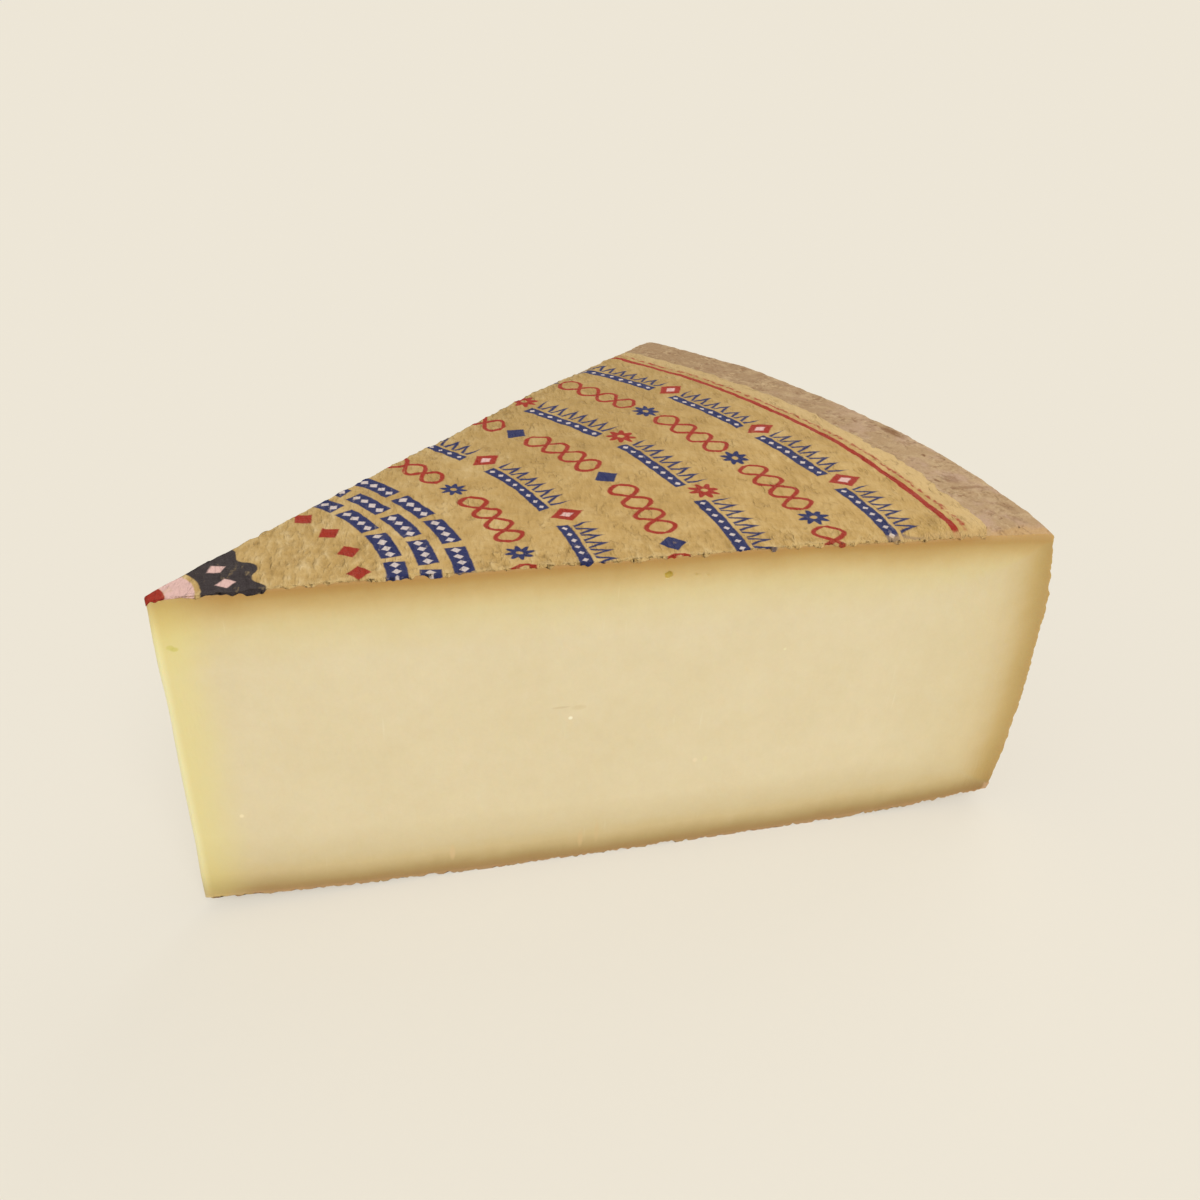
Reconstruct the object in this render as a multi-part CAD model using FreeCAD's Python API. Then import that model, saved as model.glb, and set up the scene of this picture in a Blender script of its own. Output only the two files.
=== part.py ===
import FreeCAD, Part
import math
import os

# A wedge cut from a wheel of hard mountain cheese, with the printed paper that covers the
# middle of the wheel's top. Millimetres, +Z up.
#
# The wheel is modelled first, turned about Z, and both pieces are then cut out of it by the
# same two knife cuts. In the finished frame +X runs along the middle of the wedge, from its
# tip to its heel, and the origin is under the middle of its bounding box, on the surface that
# it rests on.

# Wheel and wedge
WHEEL_RADIUS = 285.0  # greatest radius, at the belly of the heel
WHEEL_HEIGHT = 118.4  # from the resting base to the level part of the top
WEDGE_ANGLE = 45.0  # between the two cuts, in degrees
CUTS_MEET_PAST_AXIS = 1.1  # how far beyond the wheel's axis the two cuts would meet
TIP_EDGE_RADIUS = 1.5  # rounding of the upright edge where they do

# Heel, the outer wall of the wheel
BELLY_HEIGHT = 58.0  # height of the greatest radius
HEEL_TOP_INSET = 6.5  # how far the heel draws in from the belly up to the top rim
HEEL_BOTTOM_INSET = 3.2  # how far it draws in from the belly down to the bottom rim
TOP_RIM_ROUND = 5.0
BOTTOM_RIM_ROUND = 1.5

# Top face
CROWN_DIP = 1.5  # how far the middle of the wheel dips under the level part
CROWN_DIP_REACH = 16.0  # radius at which the dip begins
SHOULDER_DROP = 1.8  # how far the top falls off towards its rim
SHOULDER_WIDTH = 40.0  # width of the part that falls off, in from the rim

# Base
BASE_CROWN_LIFT = 5.2  # how far the middle of the wheel stands off the resting surface
BASE_CROWN_REACH = 120.0  # radius at which that lift begins
BASE_RIM_LIFT = 4.9  # how far the bottom rim stands off the resting surface
BASE_RIM_WIDTH = 95.0  # width of the part that rises, in from the bottom rim

# Printed paper on the top
PAPER_MARGIN = 24.5  # bare rind between the top rim and the paper's edge
PAPER_THICKNESS = 0.3

# One small round eye, open in the right-hand cut seen from the tip
EYE_DIAMETER = 3.0
EYE_DEPTH = 1.3
EYE_FROM_TIP = 149.0  # along the cut, from where the cuts would meet
EYE_BELOW_TOP = 6.3

# Derived places, used by more than one feature
HALF_ANGLE = math.radians(WEDGE_ANGLE / 2)
TOP_RIM_RADIUS = WHEEL_RADIUS - HEEL_TOP_INSET
TOP_RIM_HEIGHT = WHEEL_HEIGHT - SHOULDER_DROP
BOTTOM_RIM_RADIUS = WHEEL_RADIUS - HEEL_BOTTOM_INSET
PAPER_RADIUS = TOP_RIM_RADIUS - PAPER_MARGIN
CUTS_MEET = FreeCAD.Vector(-CUTS_MEET_PAST_AXIS, 0, 0)
TIP_X = CUTS_MEET.x + TIP_EDGE_RADIUS / math.sin(HALF_ANGLE) - TIP_EDGE_RADIUS  # foremost point

UP = FreeCAD.Vector(0, 0, 1)


def section_point(radius, height):
    """A point of the wheel's section, in the plane of X and Z."""
    return FreeCAD.Vector(radius, 0, height)


def easing_arc(start, along, reach, across, fall):
    """An arc that leaves start in the direction along and ends reach further on and fall across."""
    bend_radius = (reach * reach + fall * fall) / (2 * fall)
    half_turn = math.atan2(fall, reach)

    def at(turn):
        run = bend_radius * math.sin(turn)
        shift = bend_radius * (1 - math.cos(turn))
        return start + along * run + across * shift

    return Part.Arc(start, at(half_turn), at(2 * half_turn)).toShape()


def along_cut(side):
    """The level direction from the tip along the left-hand cut, side 1, or the right-hand, -1."""
    return FreeCAD.Vector(math.cos(HALF_ANGLE), side * math.sin(HALF_ANGLE), 0)


def line(start, end):
    """A straight edge."""
    return Part.LineSegment(start, end).toShape()


def base_edges():
    """The underside: it rests on a level ring and stands off at the middle and the rim."""
    outward, inward = FreeCAD.Vector(1, 0, 0), FreeCAD.Vector(-1, 0, 0)
    ring_inner = section_point(BASE_CROWN_REACH, 0)
    ring_outer = section_point(BOTTOM_RIM_RADIUS - BASE_RIM_WIDTH, 0)
    return [
        easing_arc(ring_inner, inward, BASE_CROWN_REACH, UP, BASE_CROWN_LIFT),
        line(ring_inner, ring_outer),
        easing_arc(ring_outer, outward, BASE_RIM_WIDTH, UP, BASE_RIM_LIFT),
    ]


def heel_edges():
    """The outer wall, which bellies out between the two rims."""
    inward = FreeCAD.Vector(-1, 0, 0)
    belly = section_point(WHEEL_RADIUS, BELLY_HEIGHT)
    return [
        easing_arc(belly, -UP, BELLY_HEIGHT - BASE_RIM_LIFT, inward, HEEL_BOTTOM_INSET),
        easing_arc(belly, UP, TOP_RIM_HEIGHT - BELLY_HEIGHT, inward, HEEL_TOP_INSET),
    ]


def top_edges():
    """The upper face: level, with a dip in the middle and a shoulder that falls to the rim."""
    outward, inward = FreeCAD.Vector(1, 0, 0), FreeCAD.Vector(-1, 0, 0)
    dip_start = section_point(CROWN_DIP_REACH, WHEEL_HEIGHT)
    shoulder_start = section_point(TOP_RIM_RADIUS - SHOULDER_WIDTH, WHEEL_HEIGHT)
    return [
        easing_arc(dip_start, inward, CROWN_DIP_REACH, -UP, CROWN_DIP),
        line(dip_start, shoulder_start),
        easing_arc(shoulder_start, outward, SHOULDER_WIDTH, -UP, SHOULDER_DROP),
    ]


def is_rim(edge, radius, height):
    """Whether an edge is the circle about Z at this radius and height."""
    box = edge.BoundBox
    tolerance = 1e-3
    return (
        abs(box.XMax - radius) < tolerance
        and abs(box.ZMin - height) < tolerance
        and abs(box.ZMax - height) < tolerance
    )


def whole_wheel():
    """The uncut wheel, turned about Z from its section."""
    axis = line(
        section_point(0, BASE_CROWN_LIFT), section_point(0, WHEEL_HEIGHT - CROWN_DIP)
    )
    edges = base_edges() + heel_edges() + top_edges() + [axis]
    outline = Part.Wire(Part.__sortEdges__(edges))
    wheel = Part.Face(outline).revolve(FreeCAD.Vector(), UP, 360)
    rims = (
        (TOP_RIM_ROUND, TOP_RIM_RADIUS, TOP_RIM_HEIGHT),
        (BOTTOM_RIM_ROUND, BOTTOM_RIM_RADIUS, BASE_RIM_LIFT),
    )
    for rounding, radius, height in rims:
        rim = [edge for edge in wheel.Edges if is_rim(edge, radius, height)]
        wheel = wheel.makeFillet(rounding, rim)
    wheel.rotate(FreeCAD.Vector(), UP, 180)  # puts the seam of the turning behind the wedge
    return wheel


def knife_cuts():
    """The sector between the two cuts, rounded at the tip, taller and wider than the wheel."""
    start = CUTS_MEET - UP * WHEEL_HEIGHT
    near = TIP_EDGE_RADIUS / math.tan(HALF_ANGLE)  # where the rounding meets a cut
    far = 2 * WHEEL_RADIUS
    near_left, far_left = (start + along_cut(1) * run for run in (near, far))
    near_right, far_right = (start + along_cut(-1) * run for run in (near, far))
    tip = FreeCAD.Vector(TIP_X, 0, start.z)
    outline = Part.Wire(
        [
            Part.Arc(near_left, tip, near_right).toShape(),
            line(near_right, far_right),
            line(far_right, far_left),
            line(far_left, near_left),
        ]
    )
    return Part.Face(outline).extrude(UP * (3 * WHEEL_HEIGHT))


def eye_hollow():
    """The ball that hollows the eye out of the right-hand cut."""
    mouth_radius = EYE_DIAMETER / 2
    ball_radius = (mouth_radius**2 + EYE_DEPTH**2) / (2 * EYE_DEPTH)
    along = along_cut(-1)
    out_of_cut = along.cross(UP)
    mouth = CUTS_MEET + along * EYE_FROM_TIP + UP * (WHEEL_HEIGHT - EYE_BELOW_TOP)
    return Part.makeSphere(ball_radius, mouth + out_of_cut * (ball_radius - EYE_DEPTH))


def paper_on(wheel):
    """The skin of paper that lies on the wheel's top, out to the paper's edge."""
    raised = wheel.copy()
    raised.translate(UP * PAPER_THICKNESS)
    middle = section_point(0, WHEEL_HEIGHT / 2)
    return raised.common(Part.makeCylinder(PAPER_RADIUS, WHEEL_HEIGHT, middle)).cut(wheel)


def write_node(name, shape):
    """Moves a piece from the wheel's axis to the finished frame and writes its one solid."""
    (solid,) = shape.Solids
    solid.translate(FreeCAD.Vector(-(TIP_X + WHEEL_RADIUS) / 2, 0, 0))
    if not solid.isValid():
        raise ValueError(name + " is not a valid solid")
    solid.exportStep(os.path.join("parts", name + ".step"))
    box = solid.optimalBoundingBox(False)
    corners = (box.XMin, box.YMin, box.ZMin, box.XMax, box.YMax, box.ZMax)
    print(name, "volume %.1f" % solid.Volume, "box", [round(c, 3) for c in corners])


os.makedirs("parts", exist_ok=True)
cheese_wheel = whole_wheel()
cuts = knife_cuts()
write_node("cheese_wedge", cheese_wheel.common(cuts).cut(eye_hollow()))
write_node("top_label", paper_on(cheese_wheel).common(cuts))
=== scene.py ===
"""A wedge of hard mountain cheese with a printed paper on its top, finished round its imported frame.

Everything is modelled in millimetres about the axis of the wheel that the wedge was cut from, with
+X along the middle of the wedge from its tip to its heel, and is put into the frame, in metres,
when a piece is finished.
"""

import logging
import math
from collections.abc import Callable, Iterable, Mapping
from dataclasses import dataclass, field
from enum import Enum
from functools import partial

import bmesh
import bpy
from mathutils import Matrix, Vector, noise


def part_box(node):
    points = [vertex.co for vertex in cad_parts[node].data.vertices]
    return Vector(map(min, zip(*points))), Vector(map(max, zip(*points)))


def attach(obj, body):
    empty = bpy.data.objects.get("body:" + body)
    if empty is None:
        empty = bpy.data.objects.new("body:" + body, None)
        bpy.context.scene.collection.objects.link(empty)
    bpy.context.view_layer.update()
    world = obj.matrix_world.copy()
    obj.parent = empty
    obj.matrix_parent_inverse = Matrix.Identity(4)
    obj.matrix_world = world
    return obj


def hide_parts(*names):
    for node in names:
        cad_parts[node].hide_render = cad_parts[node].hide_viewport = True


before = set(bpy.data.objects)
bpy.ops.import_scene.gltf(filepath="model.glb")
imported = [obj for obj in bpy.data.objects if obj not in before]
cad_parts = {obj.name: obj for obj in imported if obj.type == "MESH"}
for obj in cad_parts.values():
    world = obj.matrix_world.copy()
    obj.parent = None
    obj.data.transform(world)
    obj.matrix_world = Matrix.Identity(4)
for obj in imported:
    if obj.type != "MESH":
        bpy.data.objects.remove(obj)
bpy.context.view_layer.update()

MM = 0.001  # metres in a millimetre
LOOKS_THAT_WAY = 0.5  # share of a face's normal beyond which the face looks along an axis
BOTH_ENDS_OUT = 1.999  # what two ends add up to that are both on one side of a block, or more
SOFT_EDGE = 0.3  # half the width of the print's soft edges, in millimetres
RAYS_LOOKED_ALONG = ("Camera", "Glossy", "Transmission")

log = logging.getLogger("cheese")


# Colours


def linear(tone: str) -> tuple[float, float, float, float]:
    """A colour as Blender's sockets take it.

    Args:
        tone: six hexadecimal digits, red, green and blue as a screen shows them.

    Returns:
        Linear red, green and blue, and an alpha of 1.
    """
    shares = (int(tone[start:start + 2], 16) / 255 for start in (0, 2, 4))
    red, green, blue = (
        share / 12.92 if share <= 0.04045 else ((share + 0.055) / 1.055) ** 2.4 for share in shares
    )
    return red, green, blue, 1.0


def share_of(tone: str, whole: str) -> tuple[float, float, float, float]:
    """What a colour is multiplied by to give another.

    Args:
        tone: the colour to reach, as in linear.
        whole: the colour to start from, no darker in any part.

    Returns:
        The factors, none above 1, and an alpha of 1.
    """
    red, green, blue = (
        min(1.0, part / base) for part, base in zip(linear(tone)[:3], linear(whole)[:3])
    )
    return red, green, blue, 1.0


# Shader arithmetic


class Field:
    """A number that varies over a surface: a socket that takes part in arithmetic."""

    def __init__(self, nodes: "Nodes", socket: bpy.types.NodeSocket) -> None:
        """Wraps a socket of a node tree."""
        self.nodes = nodes
        self.socket = socket

    def __add__(self, other: "Field | float") -> "Field":
        """The sum."""
        return self.nodes.math("ADD", self, other)

    def __radd__(self, other: float) -> "Field":
        """The sum, with the number first."""
        return self.nodes.math("ADD", other, self)

    def __sub__(self, other: "Field | float") -> "Field":
        """The difference."""
        return self.nodes.math("SUBTRACT", self, other)

    def __rsub__(self, other: float) -> "Field":
        """The difference, with the number first."""
        return self.nodes.math("SUBTRACT", other, self)

    def __mul__(self, other: "Field | float") -> "Field":
        """The product."""
        return self.nodes.math("MULTIPLY", self, other)

    def __rmul__(self, other: float) -> "Field":
        """The product, with the number first."""
        return self.nodes.math("MULTIPLY", other, self)

    def __truediv__(self, other: "Field | float") -> "Field":
        """The quotient."""
        return self.nodes.math("DIVIDE", self, other)

    def __rtruediv__(self, other: float) -> "Field":
        """The quotient, with the number first."""
        return self.nodes.math("DIVIDE", other, self)

    def __abs__(self) -> "Field":
        """The size without its sign."""
        return self.nodes.math("ABSOLUTE", self)

    def fraction(self) -> "Field":
        """What is left over the whole number below."""
        return self.nodes.math("FRACT", self)

    def root(self) -> "Field":
        """The square root."""
        return self.nodes.math("SQRT", self)

    def cosine(self) -> "Field":
        """The cosine of an angle in radians."""
        return self.nodes.math("COSINE", self)

    def at_least(self, other: "Field | float") -> "Field":
        """The larger of the two."""
        return self.nodes.math("MAXIMUM", self, other)

    def at_most(self, other: "Field | float") -> "Field":
        """The smaller of the two."""
        return self.nodes.math("MINIMUM", self, other)

    def bearing(self, ahead: "Field | float") -> "Field":
        """The direction, in radians, of a place this far to the side and that far ahead."""
        return self.nodes.math("ARCTAN2", self, ahead)

    def __neg__(self) -> "Field":
        """The opposite."""
        return self.nodes.math("MULTIPLY", self, -1.0)

    def rise(self, start: float, end: float) -> "Field":
        """An eased climb from 0 to 1, or a fall where end is the lower.

        Args:
            start: the value at which it is 0.
            end: the value at which it is 1.

        Returns:
            The climb, level on both sides.
        """
        values = {"Value": self, "From Min": start, "From Max": end}
        settings = {"interpolation_type": "SMOOTHSTEP"}
        return Field(self.nodes, self.nodes.node("ShaderNodeMapRange", settings, values).outputs[0])


Value = Field | bpy.types.NodeSocket | float | tuple


class Nodes:
    """A node tree that is being filled."""

    def __init__(self, tree: bpy.types.NodeTree) -> None:
        """Starts with an empty tree."""
        self.tree = tree
        tree.nodes.clear()

    def node(
        self,
        kind: str,
        settings: Mapping[str, object] | None = None,
        values: Mapping[str | int, Value] | None = None,
    ) -> bpy.types.Node:
        """Adds a node.

        Args:
            kind: the node's type.
            settings: its properties, set first. "stops" holds a ramp's places and colours.
            values: what each socket holds or is linked to, by name or number.

        Returns:
            The node.
        """
        made = self.tree.nodes.new(kind)
        for name, setting in (settings or {}).items():
            if name == "stops":
                self.set_stops(made.color_ramp, setting)
            else:
                setattr(made, name, setting)
        for name, value in (values or {}).items():
            if isinstance(value, Field):
                value = value.socket
            if isinstance(value, bpy.types.NodeSocket):
                self.tree.links.new(value, made.inputs[name])
            else:
                made.inputs[name].default_value = value
        return made

    @staticmethod
    def set_stops(ramp: bpy.types.ColorRamp, stops: Iterable[tuple[float, tuple]]) -> None:
        """Gives a ramp its stops.

        Args:
            ramp: a new ramp, which has two.
            stops: place from 0 to 1 and colour of each, in order.
        """
        for number, (place, tone) in enumerate(stops):
            stop = ramp.elements[number] if number < 2 else ramp.elements.new(place)
            stop.position = place
            stop.color = tone

    def math(self, operation: str, *values: Field | float) -> Field:
        """A Math node on one, two or three values."""
        made = self.node("ShaderNodeMath", {"operation": operation}, dict(enumerate(values)))
        return Field(self, made.outputs[0])

    def mix(self, share: Field | float, first: Value, second: Value, blend: str = "MIX") -> Value:
        """Blends two colours.

        Args:
            share: how much of the second shows, from 0 to 1.
            first: the colour underneath.
            second: the colour on top.
            blend: Blender's name for how they mix.

        Returns:
            The blended colour's socket.
        """
        settings = {"data_type": "RGBA", "blend_type": blend, "clamp_factor": True}
        values = {0: share, 6: first, 7: second}
        return self.node("ShaderNodeMix", settings, values).outputs[2]

    def laid(self, tone: Value, *layers: tuple[Field | float, str]) -> Value:
        """Lays colours over a colour.

        Args:
            tone: the colour underneath.
            layers: how much of each shows, from 0 to 1, and the colour, as in linear, in order.

        Returns:
            The blended colour's socket.
        """
        for share, hue in layers:
            tone = self.mix(share, tone, linear(hue))
        return tone

    def vector_math(self, operation: str, *values: Value) -> bpy.types.NodeSocket:
        """A Vector Math node on one, two or three vectors, and its vector's socket."""
        settings = {"operation": operation}
        return self.node("ShaderNodeVectorMath", settings, dict(enumerate(values))).outputs["Vector"]


class Shader(Nodes):
    """A material's nodes, with its places in millimetres about the wheel's axis."""

    def __init__(self, name: str, wheel: "Wheel") -> None:
        """Starts a material.

        Args:
            name: the material's name.
            wheel: the wheel, whose axis the places are measured from.
        """
        self.material = bpy.data.materials.new(name)
        self.material.use_nodes = True
        self.wheel = wheel
        super().__init__(self.material.node_tree)
        settings = {"vector_type": "POINT"}
        values = {
            "Vector": self.node("ShaderNodeTexCoord").outputs["Object"],
            "Location": (-wheel.axis_x / MM, 0.0, 0.0),
            "Scale": (1 / MM, 1 / MM, 1 / MM),
        }
        self.place = self.node("ShaderNodeMapping", settings, values).outputs[0]
        self.x, self.y, self.z = self.parts(self.place)
        self.radius = (self.x * self.x + self.y * self.y).root()

    def parts(self, vector: Value) -> tuple[Field, Field, Field]:
        """A vector's three numbers."""
        apart = self.node("ShaderNodeSeparateXYZ", {}, {"Vector": vector})
        return tuple(Field(self, socket) for socket in apart.outputs)

    def from_cut(self) -> Field:
        """How far the surface is from the nearer cut, in millimetres."""
        run = (self.x + self.wheel.cuts_meet_past_axis) * math.sin(self.wheel.half_angle)
        return run - abs(self.y) * math.cos(self.wheel.half_angle)

    def attribute(self, name: str) -> Field:
        """A number that the mesh holds at its vertices."""
        made = self.node("ShaderNodeAttribute", {"attribute_name": name})
        return Field(self, made.outputs["Fac"])

    def clouds(self, size: float, detail: float = 2.0, where: Value | None = None) -> Field:
        """Noise about 0, mostly within a half either way, with swells of a size in millimetres."""
        values = {"Vector": where or self.place, "Scale": 1 / size, "Detail": detail}
        return Field(self, self.node("ShaderNodeTexNoise", {}, values).outputs[0]) - 0.5

    def spots(self, gap: float, reach: float, share: float, where: Value | None = None) -> Field:
        """Scattered round spots.

        Args:
            gap: how far apart they would be if none were left out, in millimetres.
            reach: how far a spot's soft edge goes from its middle, in millimetres.
            share: how many of them there are, from 0 to 1.
            where: the places to read them at, if not the surface's own.

        Returns:
            1 in the middle of a spot and 0 outside it.
        """
        values = {"Vector": where or self.place, "Scale": 1 / gap}
        cells = self.node("ShaderNodeTexVoronoi", {}, values)
        chances = self.node("ShaderNodeSeparateColor", {}, {0: cells.outputs["Color"]})
        kept = Field(self, chances.outputs[0]).rise(share + 0.02, share - 0.02)
        return Field(self, cells.outputs["Distance"]).rise(reach / gap, reach / gap / 3) * kept

    def drawn_out(self, pull: tuple[float, float, float], start: Value | None = None) -> Value:
        """Places squeezed along X, Y and Z, so that noise read at them is that much longer."""
        squeeze = tuple(1 / times for times in pull)
        return self.vector_math("MULTIPLY", start or self.place, squeeze)

    def shifted(self, amount: float, size: float, start: Value | None = None) -> Value:
        """The surface's places, pushed about so that what is drawn at them wavers.

        Args:
            amount: how far they are pushed, in millimetres.
            size: how far apart the pushes are, in millimetres.
            start: the places to push, if not the surface's own.

        Returns:
            The new places' socket.
        """
        start = start or self.place
        values = {"Vector": start, "Scale": 1 / size, "Detail": 2.0}
        pushes = self.node("ShaderNodeTexNoise", {}, values).outputs["Color"]
        centred = self.vector_math("SUBTRACT", pushes, (0.5, 0.5, 0.5))
        return self.vector_math("MULTIPLY_ADD", centred, (2 * amount,) * 3, start)

    def ramp(self, value: Field, span: float, tones: Mapping[float, tuple]) -> Value:
        """The colours given for a value's steps, in order, from 0 up to its span."""
        stops = [(place / span, tone) for place, tone in tones.items()]
        return self.node("ShaderNodeValToRGB", {"stops": stops}, {0: value / span}).outputs[0]

    def finish(
        self, tone: Value, roughness: Field, relief: Field, constants: Mapping[str, Value]
    ) -> bpy.types.Material:
        """Closes the material.

        Args:
            tone: the base colour.
            roughness: the roughness.
            relief: how high the surface stands, in millimetres.
            constants: the shader's other sockets, the same all over.

        Returns:
            The material.
        """
        values = {"Height": relief, "Distance": MM}
        bump = self.node("ShaderNodeBump", {}, values)
        values = {"Base Color": tone, "Roughness": roughness, "Normal": bump.outputs[0]}
        surface = self.node("ShaderNodeBsdfPrincipled", {}, values | dict(constants))
        self.node("ShaderNodeOutputMaterial", {}, {"Surface": surface.outputs[0]})
        return self.material


# The wheel's form


def bowed(share: float) -> float:
    """The square of a share, or 0 where it is below 0."""
    return max(0.0, share) ** 2


def eased(value: float, start: float, end: float) -> float:
    """An eased climb from 0 at start to 1 at end."""
    share = min(1.0, max(0.0, (value - start) / (end - start)))
    return share * share * (3 - 2 * share)


@dataclass(frozen=True)
class Wheel:
    """The wheel that the wedge was cut from and the two cuts, in millimetres about its axis.

    The axis, the radius, the height and the paper's reach come from the frame.
    """

    axis_x: float  # in the frame, in metres
    radius: float  # at the belly of the heel
    height: float  # of the level part of the top
    paper_radius: float
    half_angle: float = math.radians(22.5)
    cuts_meet_past_axis: float = 1.1
    tip_radius: float = 1.5
    belly_height: float = 58.0
    heel_top_inset: float = 6.5
    heel_bottom_inset: float = 3.2
    top_rounding: float = 5.0
    bottom_rounding: float = 1.5
    crown_dip: float = 1.5
    crown_dip_reach: float = 16.0
    shoulder_drop: float = 1.8
    shoulder_width: float = 40.0
    base_crown_lift: float = 5.2
    base_crown_reach: float = 120.0
    base_rim_lift: float = 4.9
    base_rim_width: float = 95.0
    bent_down: float = 2.0  # how far the knife bent the top down beside the cuts near the rim
    bent_width: float = 5.5  # how wide that strip is
    bent_reach: tuple[float, float] = (178.0, 240.0)  # the radii between which it sets in
    bent_rounding: float = 1.6  # how much of its rounding the rim loses there to each bent down
    tip_bends: tuple[tuple[float, float, float], ...] = (  # of the tip: height, reach, outwards
        (12, 13, 0.45), (78, 11, -0.45), (100, 12, 0.1), (114, 3, -0.1),
    )

    @classmethod
    def from_frame(cls) -> "Wheel":
        """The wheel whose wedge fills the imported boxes.

        Returns:
            The wheel.
        """
        low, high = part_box("cheese_wedge")
        _, paper_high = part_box("top_label")
        axis_x = low.x - (cls.rounding_middle() - cls.tip_radius) * MM
        return cls(
            axis_x=axis_x,
            radius=(high.x - axis_x) / MM,
            height=high.z / MM,
            paper_radius=(paper_high.x - axis_x) / MM,
        )

    @classmethod
    def rounding_middle(cls) -> float:
        """How far ahead of the axis the middle of the tip's rounding is."""
        return cls.tip_radius / math.sin(cls.half_angle) - cls.cuts_meet_past_axis

    @property
    def top_rim(self) -> float:
        """The height of the top's rim, before it is rounded."""
        return self.height - self.shoulder_drop

    def top(self, radius: float) -> float:
        """The height of the top.

        Args:
            radius: how far from the axis.

        Returns:
            The height.
        """
        dip = bowed(1 - radius / self.crown_dip_reach)
        fall = bowed(1 - (self.radius - self.heel_top_inset - radius) / self.shoulder_width)
        return self.height - self.crown_dip * dip - self.shoulder_drop * fall

    def base(self, radius: float) -> float:
        """The height of the underside.

        Args:
            radius: how far from the axis.

        Returns:
            The height.
        """
        crown = bowed(1 - radius / self.base_crown_reach)
        rim = bowed(1 - (self.radius - self.heel_bottom_inset - radius) / self.base_rim_width)
        return self.base_crown_lift * crown + self.base_rim_lift * rim

    def heel(self, height: float) -> float:
        """The radius of the outer wall.

        Args:
            height: how far above the floor.

        Returns:
            The radius.
        """
        above = bowed((height - self.belly_height) / (self.top_rim - self.belly_height))
        below = bowed((self.belly_height - height) / (self.belly_height - self.base_rim_lift))
        return self.radius - self.heel_top_inset * above - self.heel_bottom_inset * below

    def sag(self, place: Vector) -> float:
        """How far the top is bent down.

        Args:
            place: the place on the top.

        Returns:
            The depth.
        """
        run = place.x + self.cuts_meet_past_axis
        from_cut = run * math.sin(self.half_angle) - abs(place.y) * math.cos(self.half_angle)
        beside = bowed(1 - max(0.0, from_cut) / self.bent_width)
        return self.bent_down * eased(place.xy.length, *self.bent_reach) * beside

    def tip_bend(self, height: float) -> float:
        """How far the tip's edge strays outwards.

        Args:
            height: how far above the floor.

        Returns:
            How far, below 0 where it strays inwards.
        """
        return sum(
            size * math.exp(-(((height - middle) / reach) ** 2)) for middle, reach, size in self.tip_bends
        )

    def outward(self, across: float) -> Vector:
        """The level direction that the tip's rounding looks in, and at -1 and 1 the cuts."""
        turn = across * (math.pi / 2 - self.half_angle)
        return Vector((-math.cos(turn), math.sin(turn), 0))

    def plan(self, along: float, across: float, reach: float) -> Vector:
        """A place seen from above.

        Args:
            along: from 0 at the tip to 1 at the far end.
            across: from -1 on the right-hand cut to 1 on the left-hand one.
            reach: the far end's distance from the axis.

        Returns:
            The place, at height 0.
        """
        tip = Vector((self.rounding_middle(), 0, 0)) + self.outward(across) * self.tip_radius
        off_axis = self.cuts_meet_past_axis * math.sin(self.half_angle)
        angle = across * (self.half_angle + math.asin(off_axis / self.radius))
        far = Vector((math.cos(angle), math.sin(angle), 0)) * reach
        return tip.lerp(far, along)

    def rounded(
        self, radius: float, height: float, face: float, side: int, rounding: float
    ) -> tuple[float, float]:
        """Draws a place near a square rim in, so that the rim comes out round.

        Args:
            radius: the place's distance from the axis.
            height: its height.
            face: the height of the face that ends at the rim.
            side: 1 at the top rim and -1 at the bottom one.
            rounding: the rim's radius of rounding.

        Returns:
            The place's new radius and height.
        """
        outward = radius - self.heel(height) + rounding
        upward = rounding - side * (face - height)
        if outward <= 0 or upward <= 0:
            return radius, height
        draw = 1 - max(outward, upward) / math.hypot(outward, upward)
        return radius - draw * outward, height - side * draw * upward

    def body_place(self, along: float, across: float, up: float) -> Vector:
        """A place of the whole wedge.

        Args:
            along: from 0 at the tip to 1 at the heel.
            across: from -1 on the right-hand cut to 1 on the left-hand one.
            up: from 0 at the base to 1 at the top.

        Returns:
            The place.
        """
        reach = self.heel(self.base_rim_lift + up * (self.top_rim - self.base_rim_lift))
        place = self.plan(along, across, reach)
        start = place.length
        sag = self.sag(place)
        low, high = self.base(start), self.top(start) - sag
        height = low + up * (high - low)
        rounding = self.top_rounding - self.bent_rounding * sag
        radius, height = self.rounded(start, height, high, 1, rounding)
        radius, height = self.rounded(radius, height, low, -1, self.bottom_rounding)
        return place * (radius / start) + Vector((0, 0, height))

    def on_right_cut(self, along: float, below_top: float) -> Vector:
        """A place on the right-hand cut, this far from where the cuts would meet."""
        run = Vector((math.cos(self.half_angle), -math.sin(self.half_angle), 0)) * along
        return run + Vector((-self.cuts_meet_past_axis, 0, self.height - below_top))


# Meshes


@dataclass(frozen=True)
class Swell:
    """One layer of a surface's unevenness, in millimetres."""

    length: float  # from one swell to the next
    height: float  # how far a strong one stands out
    seed: float  # which part of the noise it reads

    def at(self, place: Vector) -> float:
        """How far the surface stands out at a place."""
        return self.height * noise.noise(place / self.length + Vector((self.seed, 0, self.seed)))


def unevenness(swells: Iterable[Swell], place: Vector) -> float:
    """The layers' heights at a place, added up."""
    return sum(swell.at(place) for swell in swells)


def cut_edges(
    form: bmesh.types.BMesh, wanted: Callable[[bmesh.types.BMEdge], bool], cuts: int, filled: bool
) -> None:
    """Cuts some of a mesh's edges.

    Args:
        form: the mesh.
        wanted: says whether an edge is cut.
        cuts: how many times each is cut.
        filled: whether faces that are cut all round get a grid.
    """
    edges = [edge for edge in form.edges if wanted(edge)]
    bmesh.ops.subdivide_edges(form, edges=edges, cuts=cuts, use_grid_fill=filled)


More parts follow.
